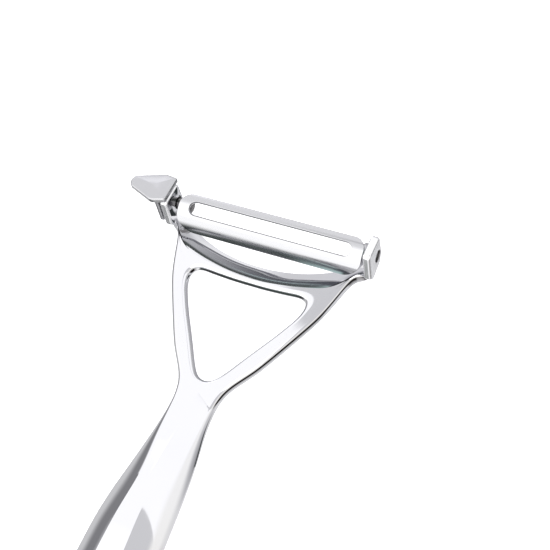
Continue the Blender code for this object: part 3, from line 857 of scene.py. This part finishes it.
# The same outline with its points at even steps along its length.
def evenOutline(outline, count=240):
    closed = np.vstack([outline, outline[:1]])
    length = np.concatenate([[0], np.cumsum(np.hypot(*np.diff(closed, axis=0).T))])
    wanted = np.linspace(0, length[-1], count, endpoint=False)
    return np.stack([np.interp(wanted, length, closed[:, k]) for k in range(2)], 1)


# A solid plate: rings from the middle out to the outline, round its edge on a quarter circle, and back. Its
# front is domed: lower by the dome's height times the square of the share of the way out.
def solidPlate(outline, thickness, edgeRound, dome=0.0, rings=14, edgeSteps=6):
    outline = evenOutline(outline)
    closed = np.vstack([outline[-1:], outline, outline[:1]])
    normal = rightNormals(closed)[1:-1]
    centre = outline.mean(0)
    normal *= np.sign(((outline - centre) * normal).sum(1).mean())
    away, down = quarterRound(edgeSteps)
    shares = np.linspace(0, 1, rings)[:-1]
    flat = centre + (outline - normal * edgeRound - centre)[:, None] * shares[None, :, None]
    rim = outline[:, None] - (normal * edgeRound)[:, None] * away[None, :, None]
    plan = np.concatenate([flat, rim, rim[:, ::-1], flat[:, ::-1]], axis=1)
    fall = np.concatenate([dome * shares ** 2, dome + edgeRound * down])
    rise = np.concatenate([0 * shares, edgeRound * down])[::-1]
    height = np.concatenate([thickness / 2 - fall, rise - thickness / 2])
    height = np.broadcast_to(height[None, :, None], (*plan.shape[:2], 1))
    points = np.concatenate([plan, height], axis=2)
    return points, gridFaces(*points.shape[:2], closedRows=True, closedColumns=False)


# The spade's corners stand at shifts from its root, shoulder and tip, on one side of its middle line or the
# other. It is tilted to the slope of the ear's front. The flange's corners are set in from the ear's outline.
def buildEyeRemover(v):
    lowFront, highFront = (np.array(earValues["outline"][k]) for k in (1, 2))
    middle = (lowFront + highFront) / 2
    along = highFront - lowFront
    half = np.hypot(*along) / 2
    base = {
        "root": earValues["thickness"] - earOuter,
        "shoulder": -earOuter,
        "tip": -earOuter - v["reach"],
    }
    corners = [((base[place] + shift[0], side * half + shift[1]), radius)
               for place, side, shift, radius in v["corners"]]
    outline = roundedOutline(corners, v["cornerSteps"])
    points, faces = solidPlate(outline, v["thickness"], v["edgeRound"], v["dome"])
    lift = v["gap"] + v["thickness"] / 2
    tilt = Matrix.Rotation(np.arctan2(along[1], along[0]), 4, "X")
    place = Matrix.Translation((0, pivotPlace[1] + middle[0], pivotPlace[2] + middle[1]))
    matrix = np.array(place @ tilt @ Matrix.Translation((0, 0, lift)))
    points = points @ matrix[:3, :3].T + matrix[:3, 3]
    spade = addPiece("spade", points, faces, "frame", spadeSteel, mergeDistance=1e-6)
    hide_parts("eye_remover")

    corners = (
        (lowFront[0], v["flangeFoot"]),
        (lowFront[0], lowFront[1] + lift),
        (highFront[0], highFront[1] + lift),
        (highFront[0], v["flangeFoot"] + v["flangeFootRise"]),
    )
    corners = [((corner[0] - inset, corner[1]), radius)
               for corner, inset, radius in zip(corners, v["flangeInsets"], v["flangeRadii"])]
    outline = roundedOutline(corners, v["flangeSteps"])
    points, faces = solidPlate(outline, v["flangeThickness"], v["flangeRound"])
    middleX = -earOuter - v["gap"] - v["flangeThickness"] / 2
    points = points[..., [2, 0, 1]] + (middleX, pivotPlace[1], pivotPlace[2])
    addPiece("flange", points, faces, "frame", spadeSteel, mergeDistance=1e-6)


buildEyeRemover(spadeValues)
print("eye remover made")


# Studio: a white table, a soft surround with darker belts, and one large soft light

tableValues = {
    "size": 3.0,
    "steps": 8,
    "gap": 0.00005,
    "colour": (0.92, 0.92, 0.93),
    "roughness": 0.9,
    "glow": 0.55,
}


# A flat grid just under the peeler's back. Metal doesn't mirror it.
def buildTable(v):
    size = v["size"] / 2
    side = np.linspace(-size, size, v["steps"] + 1)
    x, y = np.meshgrid(side, side, indexing="ij")
    points = np.stack([x, y, np.full_like(x, cadLow.z - v["gap"])], -1)
    mesh = bpy.data.meshes.new("table")
    faces = gridFaces(*points.shape[:2], closedColumns=False)[:, ::-1]
    mesh.from_pydata(points.reshape(-1, 3).tolist(), [], faces.tolist())
    table = bpy.data.objects.new("table", mesh)
    bpy.context.scene.collection.objects.link(table)
    finish = bpy.data.materials.new("whiteTable")
    finish.use_nodes = True
    shader = finish.node_tree.nodes["Principled BSDF"]
    shader.inputs["Base Color"].default_value = (*v["colour"], 1)
    shader.inputs["Roughness"].default_value = v["roughness"]
    shader.inputs["Emission Color"].default_value = (1, 1, 1, 1)
    shader.inputs["Emission Strength"].default_value = v["glow"]
    mesh.materials.append(finish)
    table.visible_glossy = False


surroundValues = {
    "ceilingFar": (1.06, 1.06, 1.08),
    "ceilingNear": (1.80, 1.80, 1.80),
    "ceilingTurn": (-0.25, 0.15),
    "under": (0.75, 0.75, 0.76),
    "shade": (0.63, 0.63, 0.65),
    "shadeSlope": 0.55,
    "shadeFoot": (0.180, 0.198),
    "shadeTop": (0.450, 0.475),
    "shadeLeft": (-0.40, -0.375),
    "lamp": (1.50, 1.50, 1.56),
    "lampSlope": 0.5,
    "lampFoot": (0.335, 0.375),
    "lampTop": (0.47, 0.52),
    "lampRight": (-0.44, -0.40),
    "againDark": (0.085, 0.100, 0.095),
    "againGlow": (0.66, 0.86, 0.83),
    "againDepth": 2.5,  # ray depth that tells the second mirroring from the first
    "glowRight": (-0.64, -0.48),
    "glowLeft": (-0.98, -0.82),
    "glintPlace": (-0.395, -0.56, 0.728),
    "glintEdge": (0.9962, 0.9985),  # cosines of the angle from its middle
    "againNear": (-0.40, -0.10),
    "nearLeft": (0.10, 0.105, 0.125),
    "nearRight": (0.66, 0.66, 0.68),
    "nearTurn": (-0.42, -0.20),
    "lowestHeight": 0.05,
    "underTop": (-0.925, -0.83),
    "lowTop": (-0.30, 0.14),
    "highTop": (0.36, 0.60),
    "highBelt": (  # degrees from +Y towards +X, tone
        (-180, (1.60, 1.60, 1.60)), (-125, (1.40, 1.40, 1.40)), (-85, (0.22, 0.22, 0.23)),
        (-60, (0.22, 0.22, 0.23)), (-46, (1.50, 1.50, 1.55)), (-40, (1.30, 1.30, 1.35)),
        (-34, (0.66, 0.66, 0.69)), (-25.5, (0.64, 0.64, 0.66)), (-22, (0.90, 0.90, 0.92)),
        (-16, (0.86, 0.86, 0.88)), (-10, (0.52, 0.52, 0.54)), (5, (0.50, 0.50, 0.52)),
        (40, (0.95, 0.95, 0.95)), (120, (0.90, 0.88, 0.85)), (180, (1.60, 1.60, 1.60)),
    ),
    "lowBelt": (
        (-180, (0.90, 0.90, 0.90)), (-172, (0.50, 0.50, 0.50)), (-166, (0.05, 0.065, 0.06)),
        (-130, (0.030, 0.030, 0.033)), (-115, (0.35, 0.35, 0.36)), (-82, (0.60, 0.60, 0.61)),
        (-64, (0.60, 0.60, 0.61)), (-50, (0.42, 0.42, 0.44)), (-30, (0.22, 0.22, 0.25)),
        (10, (0.36, 0.36, 0.38)), (36, (0.45, 0.45, 0.47)), (46.6, (0.70, 0.70, 0.72)),
        (49.2, (0.03, 0.035, 0.035)), (58, (0.03, 0.035, 0.035)), (68, (0.60, 0.60, 0.62)),
        (76, (0.60, 0.60, 0.62)), (86, (0.012, 0.010, 0.010)), (130, (0.012, 0.010, 0.010)),
        (142, (0.35, 0.34, 0.34)), (180, (0.90, 0.90, 0.90)),
    ),
}


# The surround's brightness by direction. From below: a pale floor, a low and a high belt round the horizon
# whose tones follow tables of compass bearings, and a ceiling that is brighter on the near side. A grey shade
# and a small lamp hang in the ceiling. The shade's edges are straight lines on the ceiling's plan, which is
# x / z and y / z. Metal that is mirrored in other metal meets another sky: a dark ceiling, two green glows,
# and a near side that is dark on the left and grey on the right. Each border is a smooth step.
def buildSurround(v):
    world = bpy.data.worlds.new("studio")
    bpy.context.scene.world = world
    world.use_nodes = True
    tree = world.node_tree
    nodes, links = tree.nodes, tree.links
    nodes.clear()

    def maths(*inputs):
        return mathNode(tree, *inputs)

    def mix(*inputs):
        return mixNode(tree, *inputs)

    def above(value, limits):
        node = rangeNode(tree, value, *limits)
        node.interpolation_type = "SMOOTHSTEP"
        return node.outputs["Result"]

    def below(value, limits):
        return maths("SUBTRACT", 1, above(value, limits))

    def belt(bearing, stops):
        node = nodes.new("ShaderNodeValToRGB")
        node.color_ramp.interpolation = "EASE"
        links.new(bearing, node.inputs["Fac"])
        while len(node.color_ramp.elements) < len(stops):
            node.color_ramp.elements.new(0.5)
        for element, (degrees, tone) in zip(node.color_ramp.elements, stops):
            element.position = degrees / 360 + 0.5
            element.color = (*tone, 1)
        return node.outputs["Color"]

    path = nodes.new("ShaderNodeLightPath")
    where = nodes.new("ShaderNodeTexCoord").outputs["Generated"]
    split = nodes.new("ShaderNodeSeparateXYZ")
    links.new(where, split.inputs[0])
    x, y, z = split.outputs
    bearing = maths("ADD", maths("DIVIDE", maths("ARCTAN2", x, y), 2 * pi), 0.5)
    height = maths("MAXIMUM", z, v["lowestHeight"])
    ahead = maths("DIVIDE", y, height)
    aside = maths("DIVIDE", x, height)
    again = maths("GREATER_THAN", path.outputs["Ray Depth"], v["againDepth"])

    slanted = maths("ADD", ahead, maths("MULTIPLY", aside, v["shadeSlope"]))
    inShade = maths("MULTIPLY", below(ahead, v["shadeTop"]), above(aside, v["shadeLeft"]))
    inShade = maths("MULTIPLY", above(slanted, v["shadeFoot"]), inShade)
    leaning = maths("ADD", y, maths("MULTIPLY", x, v["lampSlope"]))
    inLamp = maths("MULTIPLY", above(leaning, v["lampFoot"]), below(leaning, v["lampTop"]))
    inLamp = maths("MULTIPLY", below(x, v["lampRight"]), inLamp)
    glow = maths("MULTIPLY", below(aside, v["glowRight"]), above(aside, v["glowLeft"]))
    ceiling = mix(above(y, v["ceilingTurn"]), v["ceilingNear"], v["ceilingFar"])
    ceiling = mix(inShade, ceiling, v["shade"])
    ceiling = mix(inLamp, ceiling, v["lamp"])
    ceiling = mix(again, ceiling, mix(glow, v["againDark"], v["againGlow"]))

    sky = mix(above(z, v["underTop"]), v["under"], belt(bearing, v["lowBelt"]))
    sky = mix(above(z, v["lowTop"]), sky, belt(bearing, v["highBelt"]))
    sky = mix(above(z, v["highTop"]), sky, ceiling)
    near = maths("MULTIPLY", again, below(y, v["againNear"]))
    sky = mix(near, sky, mix(above(x, v["nearTurn"]), v["nearLeft"], v["nearRight"]))
    glint = nodes.new("ShaderNodeVectorMath")
    glint.operation = "DOT_PRODUCT"
    links.new(where, glint.inputs[0])
    glint.inputs[1].default_value = v["glintPlace"]
    inGlint = maths("MULTIPLY", again, above(glint.outputs["Value"], v["glintEdge"]))
    sky = mix(inGlint, sky, v["againGlow"])

    surround = nodes.new("ShaderNodeBackground")
    links.new(sky, surround.inputs["Color"])
    plain = nodes.new("ShaderNodeBackground")
    plain.inputs["Color"].default_value = (1, 1, 1, 1)
    either = nodes.new("ShaderNodeMixShader")
    links.new(path.outputs["Is Camera Ray"], either.inputs[0])
    links.new(surround.outputs[0], either.inputs[1])
    links.new(plain.outputs[0], either.inputs[2])
    target = nodes.new("ShaderNodeOutputWorld")
    links.new(either.outputs[0], target.inputs["Surface"])


lightValues = {
    "size": 1.2,
    "power": 12.0,
    "place": (0.35, -0.45, 1.1),
}


# One square light that faces the origin. Metal doesn't mirror it.
def buildLight(v):
    light = bpy.data.lights.new("softLight", "AREA")
    light.shape = "SQUARE"
    light.size = v["size"]
    light.energy = v["power"]
    lamp = bpy.data.objects.new("softLight", light)
    bpy.context.scene.collection.objects.link(lamp)
    lamp.location = v["place"]
    lamp.rotation_euler = (-Vector(v["place"])).to_track_quat("-Z", "Y").to_euler()
    lamp.visible_glossy = False


cameraValues = {
    "place": (0.0988, -0.0118, 0.2321),
    "back": (0.3479, -0.3738, 0.8598),
    "right": (0.9015, 0.3853, -0.1972),
    "lens": 65.45,
    "sensor": 36.0,
    "clip": (0.01, 20.0),
}


# The camera looks against its back direction. Its up direction is back x right, and right is up x back.
def buildCamera(v):
    data = bpy.data.cameras.new("camera")
    data.lens = v["lens"]
    data.sensor_width = v["sensor"]
    data.clip_start, data.clip_end = v["clip"]
    camera = bpy.data.objects.new("camera", data)
    bpy.context.scene.collection.objects.link(camera)
    back = Vector(v["back"]).normalized()
    up = back.cross(Vector(v["right"])).normalized()
    right = up.cross(back)
    turned = Matrix((right, up, back)).transposed().to_4x4()
    camera.matrix_world = Matrix.Translation(v["place"]) @ turned
    bpy.context.scene.camera = camera


buildTable(tableValues)
buildSurround(surroundValues)
buildLight(lightValues)
buildCamera(cameraValues)
bpy.context.scene.view_settings.view_transform = "Standard"
print("studio made")
